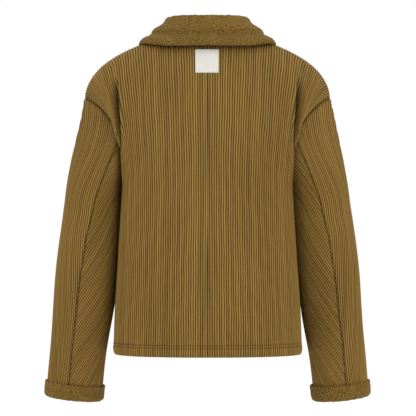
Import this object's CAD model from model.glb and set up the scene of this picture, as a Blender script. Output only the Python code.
"""A cropped corduroy jacket, filled out as if worn and seen from behind.

Every cloth piece is laid out on its flat cut, u across the wales and t along them, and carried to its place
on the worn form. Sizes are in millimetres until a mesh is made. +Z is up, the wearer faces -Y and +X is the
wearer's left.
"""

from __future__ import annotations

import logging
import math
from dataclasses import dataclass, field
from enum import Enum
from typing import Sequence

import bpy
import numpy as np
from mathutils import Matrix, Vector, noise

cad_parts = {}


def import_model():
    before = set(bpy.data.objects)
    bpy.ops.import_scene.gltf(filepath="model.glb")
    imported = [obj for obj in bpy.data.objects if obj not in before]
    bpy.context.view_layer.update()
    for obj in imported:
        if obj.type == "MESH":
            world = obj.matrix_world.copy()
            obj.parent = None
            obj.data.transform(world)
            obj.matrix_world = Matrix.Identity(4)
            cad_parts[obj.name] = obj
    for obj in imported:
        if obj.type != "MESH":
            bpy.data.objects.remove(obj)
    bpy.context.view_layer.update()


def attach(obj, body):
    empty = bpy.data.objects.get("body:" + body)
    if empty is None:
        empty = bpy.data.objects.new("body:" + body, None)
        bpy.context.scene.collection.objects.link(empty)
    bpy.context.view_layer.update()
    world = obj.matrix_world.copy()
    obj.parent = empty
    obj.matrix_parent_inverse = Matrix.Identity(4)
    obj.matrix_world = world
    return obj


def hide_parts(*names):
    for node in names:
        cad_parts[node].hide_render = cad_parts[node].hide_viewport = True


LOG = logging.getLogger("jacket")
MM = 0.001
WALE_PITCH = 4.5
WALE_HEIGHT = 1.2
POINTS_PER_WALE = 6
CLOTH = 2.6
BODY_LENGTH = 570.0
QUARTER_CUT = 247.0
SLEEVE_LENGTH = 490.0
UNDERARM = 0.54
NECK_HALF = 77.0
SHOULDER_CUT = 260.0
SLEEVE_SHOWN = 0.992
BUTTON_COUNT = 5
CAMERA_DISTANCE = 4.5
PICTURE_WIDTH = 0.7488
SENSOR_WIDTH = 36.0
FLOOR_HEIGHT = -0.75

Table = dict[str, Sequence[float]]
Grid = np.ndarray


class Side(Enum):
    """The wearer's side that a piece is on, as the sign of its X."""

    LEFT = 1
    RIGHT = -1


class Face(Enum):
    """The half of the body that a piece covers, as the sign of its Y."""

    BACK = 1
    FRONT = -1


def ease(low: float, high: float, value: Grid | float) -> Grid:
    """A smooth step from 0 at low to 1 at high."""
    s = np.clip((np.asarray(value, float) - low) / (high - low), 0.0, 1.0)
    return s * s * (3.0 - 2.0 * s)


def hermite(a: Grid, leave: Grid, b: Grid, arrive: Grid, s: Grid) -> Grid:
    """A smooth curve from a to b with the given slopes at its ends, at share s."""
    s2, s3 = s * s, s * s * s
    return a * (2 * s3 - 3 * s2 + 1) + leave * (s3 - 2 * s2 + s) + b * (3 * s2 - 2 * s3) + arrive * (s3 - s2)


def read(table: Table, key_name: str, column: str, key: Grid | float) -> Grid:
    """One column of a table on a smooth curve through its rows.

    Args:
        table: Columns by name, all of one length.
        key_name: The column that holds the keys, which rise.
        column: The column to read.
        key: Where to read it.

    Returns:
        The column's values at the keys.
    """
    keys = np.asarray(table[key_name], float)
    values = np.asarray(table[column], float)
    key = np.asarray(key, float)
    i = np.clip(np.searchsorted(keys, key, side="right") - 1, 0, len(keys) - 2)
    before = np.maximum(np.arange(len(keys)) - 1, 0)
    after = np.minimum(np.arange(len(keys)) + 1, len(keys) - 1)
    slope = (values[after] - values[before]) / (keys[after] - keys[before])
    span = keys[i + 1] - keys[i]
    return hermite(values[i], slope[i] * span, values[i + 1], slope[i + 1] * span, (key - keys[i]) / span)


def normals_of(points: Grid) -> Grid:
    """The unit normals of a grid of points, from its rows and columns."""
    across = np.gradient(points, axis=0)
    along = np.gradient(points, axis=1)
    cross = np.cross(across, along)
    return cross / np.maximum(np.linalg.norm(cross, axis=-1, keepdims=True), 1e-9)


def smooth_noise(points: Grid, scale: float, seed: float) -> Grid:
    """Soft noise from -1 to 1 at points in millimetres, with features about scale wide."""
    flat = points.reshape(-1, 3) / scale + seed
    return np.array([noise.noise(Vector(p)) for p in flat]).reshape(points.shape[:-1])


def curl_noise(points: Grid, scale: float, seed: float) -> Grid:
    """Rounded tufts from 0 between them to 1 on their tops, each about scale wide."""
    flat = points.reshape(-1, 3) / scale + seed
    near = np.array([noise.voronoi(Vector(p))[0][0] for p in flat]).reshape(points.shape[:-1])
    return 1.0 - np.clip(near, 0.0, 1.0) ** 1.5


@dataclass(frozen=True)
class ArmHollow:
    """The hollow that the hanging arm presses into the side, with the back standing out over it."""

    press: float = 9.0
    fold: Table = field(
        default_factory=lambda: {
            "t": [0, 0.2, 0.35, 0.45, 0.54, 0.6, 0.655, 0.694, 0.723, 0.75, 0.778, 0.807, 0.84, 0.875],
            "share": [0.97, 0.95, 0.92, 0.89, 0.85, 0.8, 0.752, 0.713, 0.692, 0.682, 0.674, 0.67,
                      0.664, 0.657],
        }
    )

    def beyond(self, share: Grid, t: Grid) -> Grid:
        """How far outside the fold a place on the back is, in millimetres of cloth."""
        return (share - np.interp(t, self.fold["t"], self.fold["share"])) * QUARTER_CUT

    def move(self, share: Grid, t: Grid, face: Face) -> Grid:
        """How far the form is moved outwards in X, in millimetres."""
        level = ease(0.72, 0.60, t) * ease(0.32, 0.46, t)
        if face is Face.FRONT:
            return -self.press * level * ease(0.62, 0.95, share)
        return -self.press * level * ease(2.0, 20.0, self.beyond(share, t)) - 0.6 * level


@dataclass
class BodyForm:
    """The worn shape of the body, from hem to shoulder seam."""

    squareness: float = 2.6
    side_lift: float = 2.0
    back_neck: float = 57.0
    front_neck: float = 79.5
    crown: float = 20.0
    hollow: ArmHollow = field(default_factory=ArmHollow)
    shoulder_tip: tuple[float, float, float] = (222.0, -5.0, -102.0)
    rings: Table = field(
        default_factory=lambda: {
            "t": [0.0, 0.16, 0.34, UNDERARM],
            "z": [-564, -480, -382, -262],
            "width": [169, 167, 162, 157],
            "back": [121, 121, 121, 119],
            "front": [118, 119, 121, 122],
            "side": [12, 12, 10, 4],
            "dent": [0, 1, 3, 6],
        }
    )
    back_grain: Table = field(
        default_factory=lambda: {
            "f": [0.0, 0.3, 0.62, 0.82, 1.0],
            "lowX": [0, 0, 10, 0, -80],
            "lowY": [20, 40, 50, 160, 300],
            "lowZ": [330, 300, 230, 190, 90],
            "topX": [0, 0, 20, 60, 200],
            "topY": [-320, -320, -330, -320, -266],
            "topZ": [20, 40, 35, 45, 105],
        }
    )
    seam: Grid | None = None
    front_grain: Table = field(
        default_factory=lambda: {
            "f": [0.0, 0.3, 0.62, 0.82, 1.0],
            "lowX": [0, 0, 10, 0, -5],
            "lowY": [-10, -20, -40, -150, -290],
            "lowZ": [250, 250, 220, 190, 75],
            "topX": [0, 0, 20, 60, 150],
            "topY": [250, 270, 300, 300, 256],
            "topZ": [90, 60, 35, 45, 20],
        }
    )

    def top_edge(self, f: Grid) -> Grid:
        """The shoulder seam, carried on across the neck, at share f of the way out."""
        u = np.abs(f) * SHOULDER_CUT
        s = np.clip((u - NECK_HALF) / (SHOULDER_CUT - NECK_HALF), 0.0, 1.0)
        tip_x, tip_y, tip_z = self.shoulder_tip
        x = np.where(u < NECK_HALF, u, hermite(NECK_HALF, 150.0, tip_x, 10.0, s))
        y = np.where(u < NECK_HALF, 0.0, hermite(0.0, 0.0, tip_y, 0.0, s))
        neck_z = 8.0 + (self.crown - 8.0) * (1.0 - (u / NECK_HALF) ** 2)
        z = np.where(u < NECK_HALF, neck_z, hermite(8.0, -45.0, tip_z, -190.0, s))
        return np.stack([x, y, z], axis=-1)

    def quarter(self, width: float, depth: float, share: Grid) -> tuple[Grid, Grid]:
        """A quarter of a rounded ring by length along it, from the centre line to the side."""
        angle = np.linspace(0.0, math.pi / 2, 90)
        x = width * np.sin(angle) ** (2 / self.squareness)
        y = depth * np.maximum(np.cos(angle), 0.0) ** (2 / self.squareness)
        length = np.concatenate([[0.0], np.cumsum(np.hypot(np.diff(x), np.diff(y)))])
        wanted = share * length[-1]
        return np.interp(wanted, length, x), np.interp(wanted, length, y)

    def place(self, f: Grid, t: Grid, face: Face) -> Grid:
        """Points of the form.

        Args:
            f: Shares across, negative past the centre line, as a grid.
            t: Heights from hem to shoulder. Below the underarm each row of the grid has one height.
            face: Back or front.

        Returns:
            A grid of points in millimetres, for the wearer's left side.
        """
        sign = face.value
        share = np.abs(f)
        mirror = np.where(f < 0, -1.0, 1.0)
        low = np.zeros(f.shape + (3,))
        for j in range(f.shape[1]):
            ring_t = min(float(t[0, j]), UNDERARM)
            at = {name: float(read(self.rings, "t", name, ring_t)) for name in self.rings}
            reach = at["back"] if face is Face.BACK else at["front"]
            x, y = self.quarter(at["width"], reach - sign * at["side"], share[:, j])
            x = x - at["dent"] * ease(0.7 if face is Face.BACK else 0.6, 1.0, share[:, j])
            low[:, j, 0] = x
            low[:, j, 1] = at["side"] + sign * y
            low[:, j, 2] = at["z"] + self.side_lift * share[:, j] ** 2
        s = np.clip((t - UNDERARM) / (1 - UNDERARM), 0.0, 1.0)
        top = self.top_edge(f)
        grain = self.back_grain if face is Face.BACK else self.front_grain
        slopes = {name: read(grain, "f", name, share) for name in grain if name != "f"}
        upper = np.stack(
            [
                hermite(low[..., k], slopes["low" + axis], top[..., k], slopes["top" + axis], s)
                for k, axis in enumerate("XYZ")
            ],
            axis=-1,
        )
        points = np.where((t > UNDERARM)[..., None], upper, low)
        points[..., 0] += self.hollow.move(share, t, face)
        points[..., 0] *= mirror
        return points

    def column_top(self, u: Grid, face: Face) -> Grid:
        """The height at which each wale ends: the shoulder seam, or the neckline."""
        across = np.abs(u) / QUARTER_CUT * SHOULDER_CUT
        reach = (self.back_neck if face is Face.BACK else self.front_neck) * np.sqrt(
            np.maximum(0.0, 1.0 - (across / NECK_HALF) ** 2)
        )
        low, high = np.full(u.shape, UNDERARM), np.ones(u.shape)
        for _ in range(24):
            middle = (low + high) / 2
            y = self.place((u / QUARTER_CUT)[:, None], middle[:, None], face)[:, 0, 1] * face.value
            low = np.where(y > reach, middle, low)
            high = np.where(y > reach, high, middle)
        return np.where(across >= NECK_HALF, 1.0, low)

    def armhole(self, turn: Grid) -> Grid:
        """The armhole seam: 0 at the shoulder tip, 0.25 behind, 0.5 under the arm, 0.75 in front."""
        if self.seam is None:
            turns = np.linspace(0.0, 1.0, 241)
            t = UNDERARM + (1 - UNDERARM) * np.maximum(np.abs(1 - 2 * turns), 1e-6)
            ones = np.ones((1, len(turns)))
            back = self.place(ones, t[None, :], Face.BACK)[0]
            front = self.place(ones, t[None, :], Face.FRONT)[0]
            self.seam = np.where((turns <= 0.5)[:, None], back, front)
        at = (turn - np.floor(turn)) * (len(self.seam) - 1)
        low = np.minimum(at.astype(int), len(self.seam) - 2)
        share = (at - low)[:, None]
        return self.seam[low] * (1 - share) + self.seam[low + 1] * share


@dataclass
class SleeveForm:
    """The worn shape of the left sleeve, by turn round it and share w down it."""

    body: BodyForm
    rings: Table = field(
        default_factory=lambda: {
            "w": [0.28, 0.5, 0.68, 0.85, 1.0],
            "x": [206.5, 216.5, 224.5, 235.0, 243.0],
            "y": [-10, -24, -32, -38, -42],
            "z": [-292, -400, -484, -566, -645],
            "across": [51, 56.2, 55, 51.5, 49.5],
            "deep": [74, 68, 62, 54, 46],
            "inward": [9, 3, 0, 0, 0],
        }
    )
    elbow_seam: Table = field(
        default_factory=lambda: {
            "w": [0.0, 0.06, 0.12, 0.18, 0.24, 0.32, 0.38, 0.48, 0.6, 1.0],
            "turn": [0.228, 0.26, 0.281, 0.282, 0.272, 0.256, 0.24, 0.23, 0.222, 0.221],
        }
    )
    front_seam: float = 0.66

    def ring(self, turn: Grid, w: Grid) -> tuple[Grid, Grid]:
        """Points on the rings below the armhole, and the direction down the arm."""

        def middle(at: Grid) -> Grid:
            """The centre of the sleeve at w."""
            return np.stack([read(self.rings, "w", axis, at) for axis in "xyz"], axis=-1)

        centre = middle(w)
        down = middle(w + 0.01) - centre
        down /= np.linalg.norm(down, axis=-1, keepdims=True)
        back = np.array([0.0, 1.0, 0.0]) - down * down[..., 1:2]
        back /= np.linalg.norm(back, axis=-1, keepdims=True)
        out = np.cross(down, back)
        angle = turn * math.tau
        across = read(self.rings, "w", "across", w) * np.cos(angle)
        across = across - read(self.rings, "w", "inward", w) * ease(0.78, 0.98, -np.cos(angle))
        deep = read(self.rings, "w", "deep", w) * np.sin(angle)
        return centre + out * across[..., None] + back * deep[..., None], down

    def place(self, turn: Grid, w: Grid) -> Grid:
        """Points of the form, in millimetres, for grids of turns and shares."""
        first = self.rings["w"][0]
        low, _ = self.ring(turn, np.maximum(w, first))
        start = self.body.armhole(turn.ravel()).reshape(turn.shape + (3,))
        end, down = self.ring(turn, np.full(turn.shape, first))
        chord = end - start
        arrive = down * np.linalg.norm(chord, axis=-1, keepdims=True) * 1.05
        fold = turn - np.floor(turn)
        from_tip = np.minimum(fold, 1 - fold)
        under = ease(0.14, 0.34, from_tip)
        aside = 50.0 * under * (1 - 0.9 * ease(0.41, 0.48, from_tip))
        s = np.clip(w / first, 0.0, 1.0)
        upper = np.stack(
            [
                hermite(start[..., 0], chord[..., 0] + aside, end[..., 0], arrive[..., 0], s),
                hermite(start[..., 1], chord[..., 1], end[..., 1], arrive[..., 1], s),
                hermite(start[..., 2], chord[..., 2] * (1 - 0.6 * under), end[..., 2], arrive[..., 2], s),
            ],
            axis=-1,
        )
        return np.where((w < first)[..., None], upper, low)

    def elbow(self, w: Grid) -> Grid:
        """The turn of the elbow seam at w."""
        return read(self.elbow_seam, "w", "turn", w)


@dataclass(frozen=True)
class Paint:
    """Shader-building helper: makes nodes, links them and sets their values."""

    material: bpy.types.Material

    def node(self, kind: str, **values: object) -> bpy.types.Node:
        """A new node with its properties and sockets set by name."""
        made = self.material.node_tree.nodes.new(kind)
        for name, value in values.items():
            if hasattr(made, name):
                setattr(made, name, value)
            else:
                made.inputs[name.replace("_", " ")].default_value = value
        return made

    def link(self, source: bpy.types.NodeSocket, target: bpy.types.NodeSocket) -> None:
        """Joins two sockets."""
        self.material.node_tree.links.new(source, target)

    def maths(self, operation: str, first: object, second: object = 0.0) -> bpy.types.NodeSocket:
        """A math node on sockets or numbers."""
        made = self.node("ShaderNodeMath", operation=operation)
        for slot_index, value in enumerate((first, second)):
            if isinstance(value, (int, float)):
                made.inputs[slot_index].default_value = value
            else:
                self.link(value, made.inputs[slot_index])
        return made.outputs[0]

    def mix(self, factor: object, first: object, second: object, blend: str = "MIX") -> bpy.types.NodeSocket:
        """A colour mix of sockets or colours."""
        made = self.node("ShaderNodeMix", data_type="RGBA", blend_type=blend)
        for socket, value in ((made.inputs[0], factor), (made.inputs[6], first), (made.inputs[7], second)):
            if isinstance(value, bpy.types.NodeSocket):
                self.link(value, socket)
            elif isinstance(value, (int, float)):
                socket.default_value = value
            else:
                socket.default_value = (*value, 1.0)
        return made.outputs[2]

    def noise(self, vector: bpy.types.NodeSocket, scale: float, detail: float = 2.0) -> bpy.types.NodeSocket:
        """Noise from 0 to 1 on a vector."""
        made = self.node("ShaderNodeTexNoise", Scale=scale, Detail=detail)
        self.link(vector, made.inputs["Vector"])
        return made.outputs["Fac"]

    def scaled(self, vector: bpy.types.NodeSocket, scale: tuple[float, float, float]) -> bpy.types.NodeSocket:
        """A vector stretched by a Mapping node."""
        made = self.node("ShaderNodeMapping")
        made.inputs["Scale"].default_value = scale
        self.link(vector, made.inputs["Vector"])
        return made.outputs[0]


def new_paint(name: str) -> tuple[Paint, bpy.types.Node, bpy.types.Node]:
    """A new node material with its shader and its coordinates.

    Args:
        name: The material's name.

    Returns:
        The helper, the Principled shader and the Texture Coordinate node.
    """
    material = bpy.data.materials.new(name)
    material.use_nodes = True
    paint = Paint(material)
    shader = material.node_tree.nodes["Principled BSDF"]
    return paint, shader, paint.node("ShaderNodeTexCoord")


Colour = tuple[float, float, float]


@dataclass(frozen=True)
class Corduroy:
    """Ribbed cotton pile. The UV map holds wales in X and metres along them in Y."""

    name: str = "corduroy"
    crest: Colour = (0.330, 0.205, 0.062)
    flank: Colour = (0.235, 0.134, 0.026)
    groove: Colour = (0.020, 0.011, 0.003)

    def material(self) -> bpy.types.Material:
        """The finished material."""
        paint, shader, place = new_paint(self.name)
        uv = paint.node("ShaderNodeSeparateXYZ")
        paint.link(place.outputs["UV"], uv.inputs[0])
        share = paint.maths("FRACT", uv.outputs["X"])
        off_centre = paint.maths("ABSOLUTE", paint.maths("SUBTRACT", share, 0.5))
        from_crest = paint.maths("MULTIPLY", off_centre, 2.0)
        colour = paint.mix(paint.maths("MULTIPLY", from_crest, 2.0), self.crest, self.flank)
        colour = paint.mix(paint.maths("POWER", from_crest, 2.6), colour, self.groove)
        broad = paint.noise(place.outputs["Object"], 9.0, 3.0)
        pile = paint.noise(paint.scaled(place.outputs["UV"], (9.0, 900.0, 1.0)), 1.0, 3.0)
        colour = paint.mix(0.45, colour, paint.mix(broad, (0.80, 0.80, 0.80), (1.22, 1.22, 1.22)), "MULTIPLY")
        colour = paint.mix(0.5, colour, paint.mix(pile, (0.62, 0.62, 0.62), (1.4, 1.4, 1.4)), "MULTIPLY")
        shade = paint.node("ShaderNodeAttribute", attribute_name="seam_shade")
        colour = paint.mix(1.0, colour, shade.outputs["Color"], "MULTIPLY")
        paint.link(colour, shader.inputs["Base Color"])
        bump = paint.node("ShaderNodeBump", Strength=0.35, Distance=0.0005)
        paint.link(pile, bump.inputs["Height"])
        paint.link(bump.outputs[0], shader.inputs["Normal"])
        shader.inputs["Roughness"].default_value = 0.92
        shader.inputs["Specular IOR Level"].default_value = 0.08
        shader.inputs["Sheen Weight"].default_value = 0.05
        shader.inputs["Sheen Roughness"].default_value = 0.45
        shader.inputs["Sheen Tint"].default_value = (0.85, 0.68, 0.40, 1.0)
        return paint.material


@dataclass(frozen=True)
class Pile:
    """Short curly plush."""

    name: str = "plush"
    tip: Colour = (0.345, 0.205, 0.045)
    root: Colour = (0.030, 0.016, 0.004)
    curl_scale: float = 420.0

    def material(self) -> bpy.types.Material:
        """The finished material."""
        paint, shader, place = new_paint(self.name)
        broad = paint.noise(place.outputs["Object"], 22.0, 3.0)
        curl = paint.noise(place.outputs["Object"], self.curl_scale, 4.0)
        fine = paint.noise(place.outputs["Object"], self.curl_scale * 4, 2.0)
        raised = paint.maths("MULTIPLY", paint.maths("SUBTRACT", curl, 0.25), 1.8)
        colour = paint.mix(raised, self.root, self.tip)
        colour = paint.mix(0.5, colour, paint.mix(broad, (0.78, 0.78, 0.78), (1.25, 1.25, 1.25)), "MULTIPLY")
        colour = paint.mix(0.4, colour, paint.mix(fine, (0.6, 0.6, 0.6), (1.4, 1.4, 1.4)), "MULTIPLY")
        paint.link(colour, shader.inputs["Base Color"])
        bump = paint.node("ShaderNodeBump", Strength=0.6, Distance=0.0012)
        paint.link(paint.maths("ADD", curl, paint.maths("MULTIPLY", fine, 0.4)), bump.inputs["Height"])
        paint.link(bump.outputs[0], shader.inputs["Normal"])
        shader.inputs["Roughness"].default_value = 1.0
        shader.inputs["Specular IOR Level"].default_value = 0.1
        shader.inputs["Sheen Weight"].default_value = 0.08
        shader.inputs["Sheen Roughness"].default_value = 0.6
        shader.inputs["Sheen Tint"].default_value = (0.8, 0.62, 0.35, 1.0)
        return paint.material


@dataclass(frozen=True)
class WovenLabel:
    """Cream woven tape, bare. The UV map holds metres across and up."""

    name: str = "woven_label"
    cream: Colour = (0.74, 0.71, 0.66)

    def material(self) -> bpy.types.Material:
        """The finished material."""
        paint, shader, place = new_paint(self.name)
        weave = paint.node("ShaderNodeTexChecker", Scale=1.0)
        paint.link(paint.scaled(place.outputs["UV"], (2600.0, 2600.0, 1.0)), weave.inputs["Vector"])
        broad = paint.noise(place.outputs["Object"], 60.0, 3.0)
        colour = paint.mix(broad, tuple(0.9 * c for c in self.cream), tuple(1.08 * c for c in self.cream))
        thread = paint.mix(weave.outputs["Fac"], (0.7, 0.7, 0.7), (1.1, 1.1, 1.1))
        colour = paint.mix(0.25, colour, thread, "MULTIPLY")
        paint.link(colour, shader.inputs["Base Color"])
        bump = paint.node("ShaderNodeBump", Strength=0.3, Distance=0.0002)
        paint.link(weave.outputs["Fac"], bump.inputs["Height"])
        paint.link(bump.outputs[0], shader.inputs["Normal"])
        shader.inputs["Roughness"].default_value = 0.75
        shader.inputs["Sheen Weight"].default_value = 0.1
        return paint.material


@dataclass(frozen=True)
class SpunThread:
    """Twisted sewing thread."""

    name: str = "thread"
    colour: Colour = (0.15, 0.086, 0.018)

    def material(self) -> bpy.types.Material:
        """The finished material."""
        paint, shader, place = new_paint(self.name)
        twist = paint.noise(place.outputs["Object"], 1500.0, 1.0)
        dark = tuple(0.55 * c for c in self.colour)
        paint.link(paint.mix(twist, dark, tuple(1.3 * c for c in self.colour)), shader.inputs["Base Color"])
        shader.inputs["Roughness"].default_value = 0.9
        return paint.material


@dataclass(frozen=True)
class MottledHorn:
    """Dark brown moulded button."""

    name: str = "horn_button"
    dark: Colour = (0.022, 0.010, 0.002)
    light: Colour = (0.120, 0.056, 0.010)

    def material(self) -> bpy.types.Material:
        """The finished material."""
        paint, shader, place = new_paint(self.name)
        cloud = paint.noise(paint.scaled(place.outputs["Object"], (1.0, 1.0, 0.35)), 190.0, 4.0)
        paint.link(paint.mix(cloud, self.dark, self.light), shader.inputs["Base Color"])
        scuff = paint.noise(place.outputs["Object"], 900.0, 2.0)
        paint.link(paint.maths("MULTIPLY_ADD", scuff, 0.25), shader.inputs["Roughness"])
        shader.inputs["Specular IOR Level"].default_value = 0.12
        return paint.material


@dataclass
class Wardrobe:
    """The materials, each made once."""

    corduroy: bpy.types.Material = field(default_factory=lambda: Corduroy().material())
    plush: bpy.types.Material = field(default_factory=lambda: Pile().material())
    reverse: bpy.types.Material = field(default_factory=lambda: Pile(name="plush_reverse").material())
    label: bpy.types.Material = field(default_factory=lambda: WovenLabel().material())
    thread: bpy.types.Material = field(default_factory=lambda: SpunThread().material())
    horn: bpy.types.Material = field(default_factory=lambda: MottledHorn().material())


def make_object(
    name: str,
    points: Grid,
    faces: list[tuple[int, ...]],
    materials: Sequence[bpy.types.Material],
    face_materials: Grid | None = None,
    uv: Grid | None = None,
    shade: Grid | None = None,
) -> bpy.types.Object:
    """A smooth mesh object from points in millimetres.

    Args:
        name: The object's name.
        points: Its points, one a row.
        faces: Its faces, with corners counter-clockwise from outside.
        materials: Its materials in order.
        face_materials: The index of each face's material.
        uv: A UV pair for each point.
        shade: How light the finish is at each point, about 1.

    Returns:
        The new object, at the origin.
    """
    mesh = bpy.data.meshes.new(name)
    mesh.from_pydata((points * MM).tolist(), [], faces)
    for material in materials:
        mesh.materials.append(material)
    if face_materials is not None:
        mesh.polygons.foreach_set("material_index", np.asarray(face_materials, np.int32))
    corners = np.empty(len(mesh.loops), np.int32)
    mesh.loops.foreach_get("vertex_index", corners)
    if uv is not None:
        layer = mesh.uv_layers.new(name="UVMap")
        layer.data.foreach_set("uv", uv[corners].astype(np.float32).ravel())
    if shade is not None:
        colours = np.ones((len(points), 4), np.float32)
        colours[:, :3] = shade[:, None]
        layer = mesh.color_attributes.new("seam_shade", "FLOAT_COLOR", "POINT")
        layer.data.foreach_set("color", colours.ravel())
    mesh.polygons.foreach_set("use_smooth", np.ones(len(mesh.polygons), bool))
    mesh.update()
    made = bpy.data.objects.new(name, mesh)
    bpy.context.scene.collection.objects.link(made)
    return made


def face_outwards(piece: bpy.types.Object) -> None:
    """Turns the faces of a closed piece outwards."""
    bpy.ops.object.select_all(action="DESELECT")
    piece.select_set(True)
    bpy.context.view_layer.objects.active = piece
    bpy.ops.object.mode_set(mode="EDIT")
    bpy.ops.mesh.select_all(action="SELECT")
    bpy.ops.mesh.normals_make_consistent(inside=False)
    bpy.ops.object.mode_set(mode="OBJECT")
    piece.select_set(False)


def sheet_faces(start: int, columns: int, rows: int, flip: bool) -> Grid:
    """The quads of a grid of points that starts at an index."""
    i, j = np.meshgrid(np.arange(columns - 1), np.arange(rows - 1), indexing="ij")
    a = start + (i * rows + j).ravel()
    quads = np.stack([a, a + rows, a + rows + 1, a + 1], axis=1)
    return quads[:, ::-1] if flip else quads


def rim_faces(outer: Grid, inner: Grid, flip: bool) -> list[tuple[int, ...]]:
    """Triangles that join a long row of point indices to a shorter one beside it."""
    faces: list[tuple[int, ...]] = []
    o = n = 0
    while o < len(outer) - 1 or n < len(inner) - 1:
        step_outer = n == len(inner) - 1 or (
            o < len(outer) - 1 and (o + 1) / (len(outer) - 1) <= (n + 1) / (len(inner) - 1)
        )
        corner = (outer[o], inner[n], outer[o + 1]) if step_outer else (outer[o], inner[n], inner[n + 1])
        faces.append(tuple(int(c) for c in (corner[::-1] if flip else corner)))
        o, n = (o + 1, n) if step_outer else (o, n + 1)
    return faces


@dataclass
class RibbedCloth:
    """A closed wall of corduroy: ribbed outside, plush inside."""

    name: str
    node: str
    side: Side
    wardrobe: Wardrobe

    def build(
        self, smooth: Grid, normals: Grid, wale: Grid, along: Grid, sunk: Grid, shade: Grid
    ) -> bpy.types.Object:
        """Makes the wall.

        Args:
            smooth: Grid of points of the unribbed surface, columns first.
            normals: Outward normals of that surface.
            wale: Wales across, at each column.
            along: Metres along the wale, as a grid.
            sunk: How far each point lies below the surface besides its rib, as a grid.
            shade: How light each point is.

        Returns:
            The object, standing for its solid.
        """
        share = wale - np.floor(wale)
        number = np.floor(wale)
        uneven = np.modf(np.abs(np.sin(number * 12.9898 + self.side.value) * 4375.85))[0] - 0.5
        tall = (1.0 + 0.3 * uneven)[:, None] + 0.14 * np.sin(along * 47.0 + number[:, None] * 2.4)
        rib = WALE_HEIGHT * tall * (1.0 - np.sin(math.pi * share) ** 0.75)[:, None]
        across = np.gradient(smooth, axis=0)
        across /= np.maximum(np.linalg.norm(across, axis=-1, keepdims=True), 1e-9)
        wander = 0.34 * np.sin(along * 61.0 + 0.31 * number[:, None])
        wander = wander + 0.22 * np.sin(along * 143.0 + 0.83 * number[:, None])
        wander = wander * ease(0.0, 9.0, np.minimum(wale - wale[0], wale[-1] - wale))[:, None]
        outer = smooth - normals * (rib + sunk)[..., None] + across * wander[..., None]
        shade = shade * (1.0 + 0.26 * uneven[:, None] + 0.09 * np.sin(along * 29.0 + number[:, None] * 1.9))
        picked = np.unique(np.append(np.arange(0, len(wale), POINTS_PER_WALE), len(wale) - 1))
        inner = (smooth - normals * (CLOTH + sunk)[..., None])[picked]
        columns, rows = outer.shape[:2]
        flip = self.side is Side.LEFT
        points = np.concatenate([outer.reshape(-1, 3), inner.reshape(-1, 3)])
        points[:, 0] *= self.side.value
        base = columns * rows
        out_quads = sheet_faces(0, columns, rows, flip)
        in_quads = sheet_faces(base, len(picked), rows, not flip)
        out_id = np.arange(base).reshape(columns, rows)
        in_id = base + np.arange(len(picked) * rows).reshape(len(picked), rows)
        rims = []
        rims += rim_faces(out_id[:, 0], in_id[:, 0], flip)
        rims += rim_faces(out_id[:, -1], in_id[:, -1], not flip)
        rims += rim_faces(out_id[0], in_id[0], not flip)
        rims += rim_faces(out_id[-1], in_id[-1], flip)
        faces = [*map(tuple, out_quads.tolist()), *map(tuple, in_quads.tolist()), *rims]
        index = np.concatenate([np.zeros(len(out_quads)), np.ones(len(in_quads)), np.zeros(len(rims))])
        uv_out = np.stack([np.broadcast_to(wale[:, None], along.shape), along], axis=-1)
        uv = np.concatenate([uv_out.reshape(-1, 2), uv_out[picked].reshape(-1, 2)])
        tones = np.concatenate([shade.ravel(), shade[picked].ravel()])
        made = make_object(
            self.name, points, faces, (self.wardrobe.corduroy, self.wardrobe.reverse), index, uv, tones
        )
        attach(made, "root")
        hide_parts(self.node)
        LOG.info("%s: %d faces", self.name, len(faces))
        return made


def wale_columns(start: float, end: float) -> Grid:
    """Distances across the grain with a fixed number of points for each wale."""
    step = WALE_PITCH / POINTS_PER_WALE
    inner = np.arange(math.ceil(start / step + 0.2), math.floor(end / step - 0.2) + 1) * step
    return np.concatenate([[start], inner, [end]])


@dataclass
class Crease:
    """A soft fold on a body piece, between two places given as share across and height."""

    f0: float
    t0: float
    f1: float
    t1: float
    half: float
    deep: float

    def depth(self, f: Grid, t: Grid) -> Grid:
        """How far the fold presses in, in millimetres."""
        dx, dy = (self.f1 - self.f0) * QUARTER_CUT, (self.t1 - self.t0) * BODY_LENGTH
        px, py = (f - self.f0) * QUARTER_CUT, (t - self.t0) * BODY_LENGTH
        along = (px * dx + py * dy) / (dx * dx + dy * dy)
        across = (px * dy - py * dx) / math.hypot(dx, dy)
        run = ease(-0.1, 0.75, along) * (1 - ease(1.0, 1.45, along))
        return self.deep * run * np.exp(-((across / self.half) ** 2))


@dataclass(frozen=True)
class ArmFold:
    """The deep fold behind the arm, where the back hangs over the cloth that runs on to the sleeve."""

    path: ArmHollow
    deep: float = 15.0
    reach: float = 46.0

    def offsets(self, f: Grid, t: Grid) -> tuple[Grid, Grid, Grid]:
        """How far the cloth is pressed in and moved outwards, and how light it is.

        Args:
            f: Shares across.
            t: Heights.

        Returns:
            Depth and sideways move in millimetres, and tone about 1.
        """
        beyond = self.path.beyond(f, t)
        run = ease(0.885, 0.79, t) * ease(0.66, 0.74, t)
        depth = self.deep * run * ease(-3.0, 1.6, beyond) * (1.0 - ease(4.0, self.reach, beyond))
        depth = depth - 2.0 * run * np.exp(-(((beyond + 9.0) / 7.0) ** 2))
        pushed_out = np.exp(-(((beyond + 3.2) / 3.0) ** 2))
        pulled_in = np.exp(-(((beyond - 2.6) / 4.0) ** 2))
        move = 3.4 * run * (pushed_out - pulled_in)
        shadow = ease(0.885, 0.80, t) * ease(0.16, 0.3, t)
        tone = 1.0 - 0.86 * shadow * ease(-1.5, 1.5, beyond) * (1.0 - ease(3.0, 30.0, beyond)) ** 1.5
        return depth, move, tone


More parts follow.
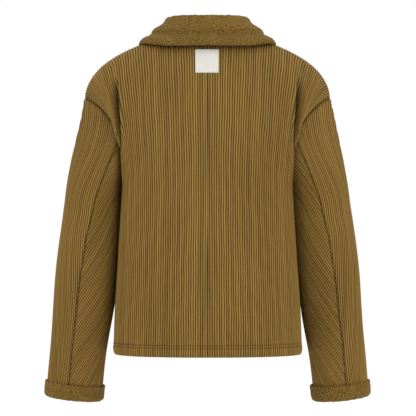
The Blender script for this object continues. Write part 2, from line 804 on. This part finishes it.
@dataclass
class BodyPiece:
    """A back or front piece of the body."""

    form: BodyForm
    side: Side
    face: Face
    wardrobe: Wardrobe
    lap: float = 17.0
    lap_lift: float = 2.6
    row_step: float = 6.0
    hem_lines: tuple[float, float] = (17.0, 22.5)
    crease: Crease | None = None
    fold: ArmFold | None = None

    @property
    def start(self) -> float:
        """Where the piece begins across its cut."""
        return 0.0 if self.face is Face.BACK else -self.lap

    def rows(self) -> Grid:
        """Heights of the rows as shares, close together at the hem, its stitching and the top."""
        fine = [0.0, 0.8, 1.8, 3.2, 6.0, 10.0, 14.0]
        for line in self.hem_lines:
            fine += [line + step for step in (-1.5, -0.7, 0.0, 0.7, 1.5)]
        plain = np.arange(27.0, BODY_LENGTH - 7.0, self.row_step)
        close = [BODY_LENGTH - gap for gap in (5.5, 3.4, 2.0, 1.0, 0.1)]
        return np.concatenate([fine, plain, close]) / BODY_LENGTH

    def shape(self, u: Grid, t: Grid) -> tuple[Grid, Grid, Grid, Grid]:
        """The piece's smooth surface on the wearer's left.

        Args:
            u: Distances across the cut, as a grid.
            t: Heights, as a grid of the same shape.

        Returns:
            Points, outward normals, how far each point is pressed in, and tone about 1.
        """
        f = u / QUARTER_CUT
        smooth = self.form.place(f, t, self.face)
        normals = -self.face.value * normals_of(smooth)
        sunk, tone = np.zeros(t.shape), np.ones(t.shape)
        if self.face is Face.FRONT:
            over = 1.0 if self.side is Side.RIGHT else -1.0
            lift = over * self.lap_lift * (1 - ease(self.lap + 4, self.lap + 40, u))
            smooth = smooth + normals * lift[..., None]
        if self.crease:
            sunk = sunk + self.crease.depth(f, t)
        if self.fold:
            depth, move, dark = self.fold.offsets(f, t)
            across = np.gradient(smooth, axis=0)
            across /= np.maximum(np.linalg.norm(across, axis=-1, keepdims=True), 1e-9)
            smooth = smooth + across * move[..., None]
            sunk, tone = sunk + depth, tone * dark
        return smooth, normals, sunk, tone

    def build(self) -> bpy.types.Object:
        """Makes the piece."""
        u = wale_columns(self.start, QUARTER_CUT - 0.1)
        top = self.form.column_top(u, self.face)
        share = self.rows()
        t = np.where(
            share[None, :] < UNDERARM,
            share[None, :],
            UNDERARM + (share[None, :] - UNDERARM) / (1 - UNDERARM) * (top[:, None] - UNDERARM),
        )
        grid_u = np.broadcast_to(u[:, None], t.shape)
        smooth, normals, sunk, shade = self.shape(grid_u, t)
        height = t * BODY_LENGTH
        from_side = QUARTER_CUT - grid_u
        from_top = (top[:, None] - t) * BODY_LENGTH
        still = ease(0, 30, from_side) * ease(0, 25, from_top)
        stretched = smooth * np.array([1.0, 1.0, 0.35])
        ripple = smooth_noise(stretched, 60.0, 3.1 * self.side.value + self.face.value)
        hem_depth, hem_tone = self.hem_relief(height)
        seam_depth, seam_tone = self.seam_relief(grid_u, np.minimum(from_side, from_top))
        sunk = sunk + 2.4 * still * ripple + hem_depth + seam_depth
        shade = shade * (1.0 - 0.10 * ripple) * hem_tone * seam_tone
        name = f"{self.face.name.lower()}_{self.side.name.lower()}"
        cloth = RibbedCloth(f"corduroy_{name}", name, self.side, self.wardrobe)
        made = cloth.build(smooth, normals, u / WALE_PITCH, height * MM, sunk, shade)
        if self.face is Face.FRONT:
            made.data.flip_normals()
        return made

    def hem_relief(self, height: Grid) -> tuple[Grid, Grid]:
        """The hem's two sewn lines, its rounded edge and the slight roll above it.

        Args:
            height: Millimetres above the edge of the hem.

        Returns:
            How far the cloth is pressed in, in millimetres, and tone about 1.
        """
        sunk, tone = np.zeros(height.shape), np.ones(height.shape)
        for line in self.hem_lines:
            sewn = np.exp(-((height - line) ** 2))
            sunk, tone = sunk + 1.1 * sewn, tone * (1.0 - 0.28 * sewn)
        roll = ease(4.0, 12.0, height) * (1 - ease(14.0, 30.0, height))
        return sunk + 2.0 * (1 - ease(0.0, 4.5, height)) - 0.9 * roll, tone

    def seam_relief(self, grid_u: Grid, edge: Grid) -> tuple[Grid, Grid]:
        """The side and shoulder seams, the centre-back seam, and the stitched edge of a front.

        Args:
            grid_u: Distances across the cut.
            edge: Distances from the nearer of the side and shoulder seams.

        Returns:
            How far the cloth is pressed in, in millimetres, and tone about 1.
        """
        seam = np.exp(-((edge / 1.9) ** 2))
        sunk, tone = 1.2 * seam, 1.0 - 0.5 * seam
        if self.face is Face.FRONT:
            from_edge = grid_u - self.start
            line = np.exp(-(((from_edge - 6.0) / 0.8) ** 2))
            return sunk + 0.9 * line + 1.4 * (1 - ease(0.0, 2.5, from_edge)), tone * (1.0 - 0.25 * line)
        groove = np.exp(-((grid_u / 1.4) ** 2))
        sunk = sunk + 0.2 * groove
        if self.side is Side.LEFT:
            ridge = ease(1.2, 2.4, grid_u) * (1 - ease(5.0, 6.6, grid_u))
            return sunk - 0.7 * ridge, tone * (1.0 - 0.05 * groove + 0.26 * ridge)
        hollow = 1 - ease(1.0, 5.0, grid_u)
        return sunk + 0.5 * hollow, tone * (1.0 - 0.05 * groove - 0.08 * hollow)

    def sewing_line(self, places: Grid, height: float, deep: float) -> tuple[Grid, Grid, Grid]:
        """Places for stitches along a level line.

        Args:
            places: Distances across the cut.
            height: Height of the line in millimetres.
            deep: How far below the wale tops the thread lies.

        Returns:
            Points, outward normals and directions along the line.
        """
        u, t = np.meshgrid(places, (height + np.array([-1.0, 0.0, 1.0])) / BODY_LENGTH, indexing="ij")
        smooth, normals, sunk, _ = self.shape(u, t)
        points = (smooth - normals * (sunk + deep)[..., None])[:, 1]
        along = np.gradient(points, axis=0)
        turned = np.array([self.side.value, 1.0, 1.0])
        return points * turned, normals[:, 1] * turned, along * turned


@dataclass
class Stitching:
    """Rows of sewn stitches, each a small rounded bar of thread."""

    name: str
    slot: str
    material: bpy.types.Material
    length: float = 2.7
    radius: float = 0.38
    points: list[Grid] = field(default_factory=list)
    faces: list[tuple[int, ...]] = field(default_factory=list)

    def add(self, places: Grid, normals: Grid, along: Grid) -> None:
        """Adds one stitch at each place.

        Args:
            places: The stitches' middles, in millimetres.
            normals: The cloth's outward normals there.
            along: The directions of the row there.
        """
        along = along / np.linalg.norm(along, axis=-1, keepdims=True)
        out = normals / np.linalg.norm(normals, axis=-1, keepdims=True)
        beside = np.cross(out, along)
        ends = ((-0.5, 0.35, -0.55), (-0.3, 1.0, 0.0), (0.3, 1.0, 0.0), (0.5, 0.35, -0.55))
        around = np.arange(6) / 6 * math.tau
        for place, n, a, b in zip(places, out, along, beside):
            base = 24 * len(self.points)
            rings = []
            for share, width, sink in ends:
                middle = place + a * share * self.length + n * sink * self.radius
                turn = np.cos(around)[:, None] * b + np.sin(around)[:, None] * n
                rings.append(middle + turn * self.radius * width)
            self.points.append(np.concatenate(rings))
            for k in range(3):
                for i in range(6):
                    low, high = base + 6 * k + i, base + 6 * k + (i + 1) % 6
                    self.faces.append((low, high, high + 6, low + 6))
            self.faces.append(tuple(base + i for i in reversed(range(6))))
            self.faces.append(tuple(base + 18 + i for i in range(6)))

    def build(self) -> bpy.types.Object:
        """Makes the stitches one piece."""
        made = make_object(self.name, np.concatenate(self.points), self.faces, (self.material,))
        face_outwards(made)
        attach(made, "root")
        LOG.info("%s: %d stitches", self.name, len(self.points))
        return made


@dataclass
class SleevePiece:
    """One of the two pieces of a sleeve, laid out as a rectangle."""

    form: SleeveForm
    side: Side
    upper: bool
    wardrobe: Wardrobe
    row_step: float = 5.5
    body_side: Table = field(
        default_factory=lambda: {
            "down": [150, 220, 290, 360, 430, 520],
            "x": [154, 153.5, 155, 158, 162, 168],
        }
    )

    @property
    def width(self) -> float:
        """The width of the cut across the arm."""
        return 226.0 if self.upper else 148.0

    @property
    def wale_lean(self) -> list[float]:
        """How far the wales lean off the sleeve's line at its top, middle and end, in degrees."""
        return [-5.5, -8, -17] if self.upper else [14, 25, 28]

    def cut(self) -> tuple[Grid, Grid, Grid]:
        """Lays the slanting wales out on the piece's rectangle.

        Returns:
            The place of each column across the grain, and for each point on it the distance down the sleeve
            and the distance across the piece.
        """
        width, length = self.width, SLEEVE_SHOWN * SLEEVE_LENGTH
        v = np.linspace(0.0, length, 200)
        lean = np.radians(np.interp(v, [0, 0.5 * length, length], self.wale_lean))
        drift = np.concatenate([[0.0], np.cumsum(np.tan(lean[1:]) * np.diff(v))])
        low, high = min(0.0, drift[-1]), width + max(0.0, drift[-1])
        p = wale_columns(low + 0.7, high - 0.7)
        starts, ends = np.zeros(len(p)), np.full(len(p), length)
        for i, place in enumerate(p):
            if drift[-1] > 0:
                starts[i] = max(0.0, float(np.interp(place - width, drift, v)))
                ends[i] = min(length, float(np.interp(place, drift, v)))
            else:
                starts[i] = max(0.0, float(np.interp(-place, -drift, v)))
                ends[i] = min(length, float(np.interp(width - place, -drift, v)))
        rows = int(length / self.row_step)
        share = np.concatenate([[0.0, 0.0015, 0.004, 0.007], np.linspace(0.011, 1.0, rows)])
        along = starts[:, None] + (ends - starts)[:, None] * share[None, :]
        return p, along, np.clip(p[:, None] - np.interp(along, v, drift), 0.0, width)

    def pit_tone(self, smooth: Grid) -> Grid:
        """How light the cloth is beside the body, where the arm shades it."""
        x, z = smooth[..., 0], smooth[..., 2]
        clear = x - np.interp(-z, self.body_side["down"], self.body_side["x"])
        pit = ease(-560.0, -440.0, z) * ease(-130.0, -165.0, z) * (1.0 - ease(-1.0, 17.0, clear)) ** 1.3
        return 1.0 - (0.84 if self.side is Side.LEFT else 0.40) * pit

    def build(self) -> bpy.types.Object:
        """Makes the piece."""
        p, along, u = self.cut()
        width = self.width
        w = np.clip(along / SLEEVE_LENGTH, 0.0, SLEEVE_SHOWN)
        elbow = self.form.elbow(w)
        front = self.form.front_seam - (1.0 if self.upper else 0.0)
        first, last = (front, elbow) if self.upper else (elbow, self.form.front_seam)
        gap = 0.0004
        turn = first + gap + (last - first - 2 * gap) * u / width
        smooth = self.form.place(turn, w)
        step = 0.002
        across = self.form.place(turn + step, w) - self.form.place(turn - step, w)
        w_low, w_high = np.maximum(w - step, 0.0), np.minimum(w + step, 0.999)
        down = self.form.place(turn, w_high) - self.form.place(turn, w_low)
        normals = -np.cross(across, down)
        normals /= np.maximum(np.linalg.norm(normals, axis=-1, keepdims=True), 1e-9)
        edge = np.minimum(u, width - u)
        seam = np.minimum(np.exp(-((edge / 1.8) ** 2)) + np.exp(-((along / 2.2) ** 2)), 1.0)
        still = ease(0, 25, edge) * ease(0, 30, along)
        ripple = smooth_noise(smooth * np.array([1.0, 1.0, 0.5]), 62.0, 7.7 * self.side.value + self.upper)
        sunk = 1.1 * seam + 2.0 * still * ripple
        shade = (1.0 - 0.55 * seam) * (1.0 - 0.12 * ripple) * self.pit_tone(smooth)
        name = f"sleeve_{'upper' if self.upper else 'under'}_{self.side.name.lower()}"
        cloth = RibbedCloth(f"corduroy_{name}", name, self.side, self.wardrobe)
        return cloth.build(smooth, normals, p / WALE_PITCH, along * MM, sunk, shade)


def closed_curve(points: Grid, count: int) -> Grid:
    """A smooth closed curve through rows of corner points.

    Args:
        points: Array of sections by corners by 3.
        count: Points to make on each section.

    Returns:
        Array of sections by count by 3, spaced evenly by length on the first section's pattern.
    """
    corners = points.shape[1]
    lengths = np.linalg.norm(np.roll(points, -1, axis=1) - points, axis=-1).mean(axis=0)
    knots = np.concatenate([[0.0], np.cumsum(lengths)])
    at = np.linspace(0.0, knots[-1], count, endpoint=False)
    i = np.clip(np.searchsorted(knots, at, side="right") - 1, 0, corners - 1)
    s = ((at - knots[i]) / lengths[i])[None, :, None]
    before, after = points[:, (i - 1) % corners], points[:, (i + 2) % corners]
    a, b = points[:, i], points[:, (i + 1) % corners]
    span = lengths[i][None, :, None]
    gap_before = lengths[(i - 1) % corners][None, :, None]
    gap_after = lengths[(i + 1) % corners][None, :, None]
    leave = (b - before) / (span + gap_before) * span
    arrive = (after - a) / (span + gap_after) * span
    return hermite(a, leave, b, arrive, s)


@dataclass
class PlushRoll:
    """A thick plush strip made from closed sections, lumpy all over."""

    name: str
    node: str
    wardrobe: Wardrobe
    tuft: float = 4.6
    tall: float = 1.3

    def build(self, sections: Grid, closed: bool, flip: bool) -> bpy.types.Object:
        """Makes the strip.

        Args:
            sections: Array of sections by points by 3, each a closed loop.
            closed: Whether the last section joins the first.
            flip: Whether the faces are turned round.

        Returns:
            The object, standing for its solid.
        """
        count, around = sections.shape[:2]
        ring = np.concatenate([sections[-1:], sections, sections[:1]]) if closed else sections
        wrapped = np.concatenate([ring[:, -1:], ring, ring[:, :1]], axis=1)
        normals = normals_of(wrapped)[:, 1:-1]
        normals = (normals[1:-1] if closed else normals) * (-1.0 if flip else 1.0)
        lumps = curl_noise(sections, self.tuft, 0.3) * self.tall
        lumps = lumps + 0.35 * smooth_noise(sections, 13.0, 1.7)
        lumps = lumps + 0.4 * curl_noise(sections, self.tuft * 0.45, 5.1)
        points = sections + normals * (lumps - self.tall * 0.5)[..., None]
        index = np.arange(count * around).reshape(count, around)
        last = count if closed else count - 1
        a = index[:last]
        b = np.roll(index, -1, axis=0)[:last]
        quads = np.stack([a, b, np.roll(b, -1, axis=1), np.roll(a, -1, axis=1)], axis=-1).reshape(-1, 4)
        if flip:
            quads = quads[:, ::-1]
        faces = [*map(tuple, quads.tolist())]
        if not closed:
            ends = (index[0][::-1], index[-1]) if not flip else (index[0], index[-1][::-1])
            faces += [tuple(int(i) for i in end) for end in ends]
        made = make_object(self.name, points.reshape(-1, 3), faces, (self.wardrobe.plush,))
        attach(made, "root")
        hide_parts(self.node)
        LOG.info("%s: %d faces", self.name, len(faces))
        return made


@dataclass
class Collar:
    """The turn-down collar: a stand, a roll and a fall in one strip."""

    wardrobe: Wardrobe
    places: Table = field(
        default_factory=lambda: {
            "a": [0.0, 0.25, 0.5, 0.75, 1.0],
            "baseX": [0, 50, 74, 58, 6],
            "baseY": [54, 42, 6, -62, -92],
            "baseZ": [2, 4, 12, -16, -66],
            "rollX": [0, 52, 73, 60, 8],
            "rollY": [66, 52, 8, -62, -96],
            "rollZ": [38, 38, 34, 12, -34],
            "edgeX": [0, 72, 119, 104, 56],
            "edgeY": [80, 66, 12, -84, -125],
            "edgeZ": [-12, -12.5, -8, -44, -110],
        }
    )

    def build(self) -> bpy.types.Object:
        """Makes the collar."""
        a = np.linspace(-1.0, 1.0, 430)

        def at(part: str) -> Grid:
            """The three columns of one line of the collar."""
            columns = [read(self.places, "a", part + axis, np.abs(a)) for axis in "XYZ"]
            line = np.stack(columns, axis=-1)
            line[:, 0] *= np.where(a < 0, -1.0, 1.0)
            return line

        base, roll, edge = at("base"), at("roll"), at("edge")
        out = (edge - base) * np.array([1.0, 1.0, 0.0])
        out /= np.linalg.norm(out, axis=-1, keepdims=True)
        up = np.array([0.0, 0.0, 1.0])
        inner = roll - 5 * out - 8 * up
        outer = roll + 6 * out - 9 * up
        belly = outer * 0.62 + edge * 0.38 + 2.2 * out + 2 * up
        crease = outer * 0.42 + edge * 0.58 - 1.4 * out + 1.2 * up
        rim = outer * 0.17 + edge * 0.83 + 2.6 * out + 0.6 * up
        stand = base * 0.45 + inner * 0.55
        middle = np.stack([base, stand, inner, roll, outer, belly, crease, rim, edge], axis=1)
        along = np.gradient(middle, axis=1)
        round_neck = np.gradient(middle, axis=0)
        normal = np.cross(round_neck, along)
        normal /= np.linalg.norm(normal, axis=-1, keepdims=True)
        thick = np.array([2.6, 2.8, 3.0, 3.0, 3.0, 3.0, 2.2, 4.0, 3.6])[None, :, None]
        thick = thick * np.sqrt(np.clip((1 - np.abs(a)) / 0.012, 0.03, 1.0))[:, None, None]
        tip = middle[:, -1] + (middle[:, -1] - middle[:, -2]) * 0.12
        top, under = middle + normal * thick, middle - normal * thick
        loop = np.concatenate([top, tip[:, None], under[:, ::-1]], axis=1)
        sections = closed_curve(loop, 128)
        return PlushRoll("plush_collar", "collar", self.wardrobe).build(sections, closed=False, flip=False)


@dataclass
class Cuff:
    """A turned-up cuff, folded round the end of its sleeve."""

    form: SleeveForm
    side: Side
    wardrobe: Wardrobe
    wall: float = 4.2
    profile: Table = field(
        default_factory=lambda: {
            "w": [0.95, 0.962, 0.978, 0.993, 1.0, 0.995],
            "out": [2.5, 2.8, 2.9, 2.4, -1.2, -5.8],
        }
    )

    def build(self) -> bpy.types.Object:
        """Makes the cuff."""
        turn = np.linspace(0.0, 1.0, 250, endpoint=False)[:, None]
        w = np.asarray(self.profile["w"])[None, :]
        turns, rows = np.broadcast_arrays(turn, w)
        step = 0.004
        across = self.form.ring(turns + step, rows)[0] - self.form.ring(turns - step, rows)[0]
        down = self.form.ring(turns, rows + step)[0] - self.form.ring(turns, rows - step)[0]
        outward = -np.cross(across, down)
        outward /= np.linalg.norm(outward, axis=-1, keepdims=True)
        centre = self.form.ring(turns, rows)[0] + outward * np.asarray(self.profile["out"])[None, :, None]
        along = np.gradient(centre, axis=1)
        face = np.cross(along, across)
        face /= np.linalg.norm(face, axis=-1, keepdims=True)
        half = face * self.wall / 2
        loop = np.concatenate([centre + half, (centre - half)[:, ::-1]], axis=1)
        loop[..., 0] *= self.side.value
        sections = closed_curve(loop, 84)
        name = f"cuff_{self.side.name.lower()}"
        roll = PlushRoll(f"plush_{name}", name, self.wardrobe)
        return roll.build(sections, closed=True, flip=self.side is Side.RIGHT)


@dataclass
class Label:
    """The bare woven patch at the nape."""

    form: BodyForm
    wardrobe: Wardrobe
    half: float = 20.4
    shift: float = 1.0
    low: float = 0.7965
    high: float = 0.8655
    thick: float = 0.8

    def build(self) -> bpy.types.Object:
        """Makes the patch, rounded at its edge."""
        u = np.linspace(-self.half, self.half, 45) + self.shift
        t = np.linspace(self.low, self.high, 47)
        grid_u, level = np.meshgrid(u, t, indexing="ij")
        wanted = self.form.place(0 * grid_u, level, Face.BACK)[..., 2]
        grid_t = level
        for _ in range(3):
            here = self.form.place(grid_u / QUARTER_CUT, grid_t, Face.BACK)[..., 2]
            grid_t = grid_t + (wanted - here) / BODY_LENGTH
        smooth = self.form.place(grid_u / QUARTER_CUT, grid_t, Face.BACK)
        normals = -normals_of(smooth)
        from_end = np.minimum(level - self.low, self.high - level) * BODY_LENGTH
        edge = np.minimum(self.half - np.abs(grid_u - self.shift), from_end)
        puff = 1.2 + self.thick * ease(-0.2, 0.9, edge) - 0.35 * np.exp(-(((edge - 2.6) / 0.7) ** 2))
        puff = puff + 0.25 * smooth_noise(smooth, 14.0, 2.0)
        outer = smooth + normals * puff[..., None]
        inner = smooth + normals * 0.35
        rows = len(t)
        points = np.concatenate([outer.reshape(-1, 3), inner.reshape(-1, 3)])
        base = len(u) * rows
        out_id = np.arange(base).reshape(len(u), rows)
        in_id = out_id + base
        faces = [
            *map(tuple, sheet_faces(0, len(u), rows, True).tolist()),
            *map(tuple, sheet_faces(base, len(u), rows, False).tolist()),
            *rim_faces(out_id[:, 0], in_id[:, 0], True),
            *rim_faces(out_id[:, -1], in_id[:, -1], False),
            *rim_faces(out_id[0], in_id[0], False),
            *rim_faces(out_id[-1], in_id[-1], True),
        ]
        uv = np.stack([grid_u, grid_t * BODY_LENGTH], axis=-1).reshape(-1, 2) * MM
        made = make_object("woven_patch", points, faces, (self.wardrobe.label,), uv=np.concatenate([uv, uv]))
        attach(made, "root")
        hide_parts("patch")
        return made


@dataclass
class Button:
    """A round four-hole button, sewn on through the right front."""

    number: int
    wardrobe: Wardrobe
    thread: Stitching
    radius: float = 9.0
    thick: float = 3.0
    dish: float = 6.4
    hole: float = 0.9
    spread: float = 1.8

    def cutter(self, x: float, y: float) -> bpy.types.Object:
        """Makes the cylinder that cuts one hole."""
        bpy.ops.mesh.primitive_cylinder_add(
            vertices=16, radius=self.hole * MM, depth=12 * MM, location=(x * MM, y * MM, 0)
        )
        return bpy.context.active_object

    def disc(self) -> bpy.types.Object:
        """Makes the dished disc with its rounded edge and four holes, face up at the origin."""
        bpy.ops.object.select_all(action="DESELECT")
        bpy.ops.mesh.primitive_cylinder_add(vertices=48, radius=self.radius * MM, depth=self.thick * MM)
        disc = bpy.context.active_object
        bpy.ops.object.mode_set(mode="EDIT")
        bpy.ops.mesh.select_mode(type="FACE")
        bpy.ops.mesh.select_all(action="DESELECT")
        bpy.ops.object.mode_set(mode="OBJECT")
        for face in disc.data.polygons:
            face.select = face.normal.z > 0.9
        bpy.ops.object.mode_set(mode="EDIT")
        bpy.ops.mesh.inset(thickness=(self.radius - self.dish) * MM)
        bpy.ops.mesh.inset(thickness=0.6 * MM, depth=-0.9 * MM)
        bpy.ops.object.mode_set(mode="OBJECT")
        places = [(a * self.spread, b * self.spread) for a in (-1, 1) for b in (-1, 1)]
        for x, y in places:
            tool = self.cutter(x, y)
            cut = disc.modifiers.new("hole", "BOOLEAN")
            cut.operation, cut.solver, cut.object = "DIFFERENCE", "EXACT", tool
            bpy.ops.object.select_all(action="DESELECT")
            disc.select_set(True)
            bpy.context.view_layer.objects.active = disc
            bpy.ops.object.modifier_apply(modifier=cut.name)
            bpy.data.objects.remove(tool, do_unlink=True)
        soft = disc.modifiers.new("soft_edge", "BEVEL")
        soft.width, soft.segments = 0.45 * MM, 3
        soft.limit_method, soft.angle_limit = "ANGLE", math.radians(40)
        bpy.ops.object.modifier_apply(modifier=soft.name)
        return disc

    def build(self) -> bpy.types.Object:
        """Makes the button where its solid is."""
        node = bpy.data.objects[f"button_{self.number}"]
        corners = [node.matrix_world @ Vector(corner) for corner in node.bound_box]
        low = Vector([min(corner[k] for corner in corners) for k in range(3)])
        high = Vector([max(corner[k] for corner in corners) for k in range(3)])
        facing = node_normal(node)
        disc = self.disc()
        disc.name = f"horn_button_{self.number}"
        disc.location = (low + high) / 2
        disc.rotation_euler = facing.to_track_quat("Z", "X").to_euler()
        bpy.ops.object.select_all(action="DESELECT")
        disc.select_set(True)
        bpy.context.view_layer.objects.active = disc
        bpy.ops.object.transform_apply(location=True, rotation=True, scale=True)
        disc.data.materials.append(self.wardrobe.horn)
        self.sew_on(np.array((low + high) / 2) / MM, np.array(facing))
        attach(disc, "root")
        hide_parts(node.name)
        LOG.info("%s: %d faces", disc.name, len(disc.data.polygons))
        return disc

    def sew_on(self, middle: Grid, out: Grid) -> None:
        """Adds the two upright stitches that run from hole to hole.

        Args:
            middle: The button's middle, in millimetres.
            out: The way its front faces.
        """
        beside = np.cross(out, [0.0, 0.0, 1.0])
        top = middle + out * (self.thick / 2 - 0.6)
        places = np.stack([top - beside * self.spread, top + beside * self.spread])
        upright = np.cross(beside, out)
        self.thread.add(places, np.stack([out, out]), np.stack([upright, upright]))


def node_normal(node: bpy.types.Object) -> Vector:
    """The way a flat solid's front faces, towards -Y."""
    total = Vector((0.0, 0.0, 0.0))
    turn = node.matrix_world.to_3x3()
    for face in node.data.polygons:
        way = (turn @ face.normal).normalized()
        if way.y < -0.8:
            total += way * face.area
    return total.normalized()


def build_camera() -> None:
    """Puts the camera behind the jacket, level with its middle, as in the photograph."""
    data = bpy.data.cameras.new("camera")
    data.lens = SENSOR_WIDTH * CAMERA_DISTANCE / PICTURE_WIDTH
    data.clip_end = 50.0
    camera = bpy.data.objects.new("camera", data)
    camera.location = (-0.0009, CAMERA_DISTANCE, -0.3015)
    camera.rotation_euler = (math.pi / 2, 0.0, math.pi)
    bpy.context.scene.collection.objects.link(camera)
    bpy.context.scene.camera = camera


def build_studio() -> None:
    """Makes the pale floor and plain soft lights on all sides."""
    bpy.ops.object.select_all(action="DESELECT")
    bpy.ops.mesh.primitive_circle_add(
        vertices=96, radius=1.15, fill_type="NGON", location=(0.0, 0.0, FLOOR_HEIGHT)
    )
    floor = bpy.context.active_object
    floor.name = "floor"
    paint, shader, _ = new_paint("pale_floor")
    shader.inputs["Base Color"].default_value = (0.93, 0.93, 0.93, 1.0)
    shader.inputs["Roughness"].default_value = 0.9
    floor.data.materials.append(paint.material)
    world = bpy.data.worlds.new("studio")
    world.use_nodes = True
    world.node_tree.nodes["Background"].inputs["Color"].default_value = (1.0, 1.0, 1.0, 1.0)
    world.node_tree.nodes["Background"].inputs["Strength"].default_value = 1.0
    bpy.context.scene.world = world
    bpy.context.scene.view_settings.view_transform = "Standard"
    for name, place, size, power in (
        ("key", (-1.9, 3.2, 1.3), 1.8, 20.0),
        ("front_key", (1.9, -3.2, 1.3), 1.8, 20.0),
        ("top", (0.0, 0.0, 3.2), 2.5, 12.0),
    ):
        light = bpy.data.lights.new(name, "AREA")
        light.size = size
        light.energy = power
        lamp = bpy.data.objects.new(name, light)
        lamp.location = place
        aim = Vector((0.0, 0.0, -0.3)) - Vector(place)
        lamp.rotation_euler = aim.to_track_quat("-Z", "Y").to_euler()
        bpy.context.scene.collection.objects.link(lamp)


def main() -> None:
    """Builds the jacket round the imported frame."""
    logging.basicConfig(level=logging.INFO, format="%(message)s")
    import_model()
    build_camera()
    build_studio()
    wardrobe = Wardrobe()
    body = BodyForm()
    sleeve = SleeveForm(body)
    front_crease = Crease(0.68, 0.92, 0.93, 0.74, 11.0, 11.0)
    hem = Stitching("hem_stitching", "corduroy", wardrobe.thread)
    for side in Side:
        arm_fold = ArmFold(body.hollow, 16.0 if side is Side.LEFT else 12.0)
        pieces = (
            BodyPiece(body, side, Face.BACK, wardrobe, fold=arm_fold),
            BodyPiece(body, side, Face.FRONT, wardrobe, crease=front_crease),
        )
        back, front = (piece.build() for piece in pieces)
        for piece in pieces:
            for line in piece.hem_lines:
                places = np.arange(piece.start + 3.0, QUARTER_CUT - 2.0, 3.4)
                hem.add(*piece.sewing_line(places, line, 0.9))
        upper = SleevePiece(sleeve, side, True, wardrobe).build()
        under = SleevePiece(sleeve, side, False, wardrobe).build()
        cuff = Cuff(sleeve, side, wardrobe).build()
    hem.build()
    collar = Collar(wardrobe).build()
    label = Label(body, wardrobe).build()
    thread = Stitching("button_thread", "button", wardrobe.thread, length=4.8, radius=0.5)
    for number in range(1, BUTTON_COUNT + 1):
        Button(number, wardrobe, thread).build()
    thread.build()


if __name__ == "__main__":
    main()
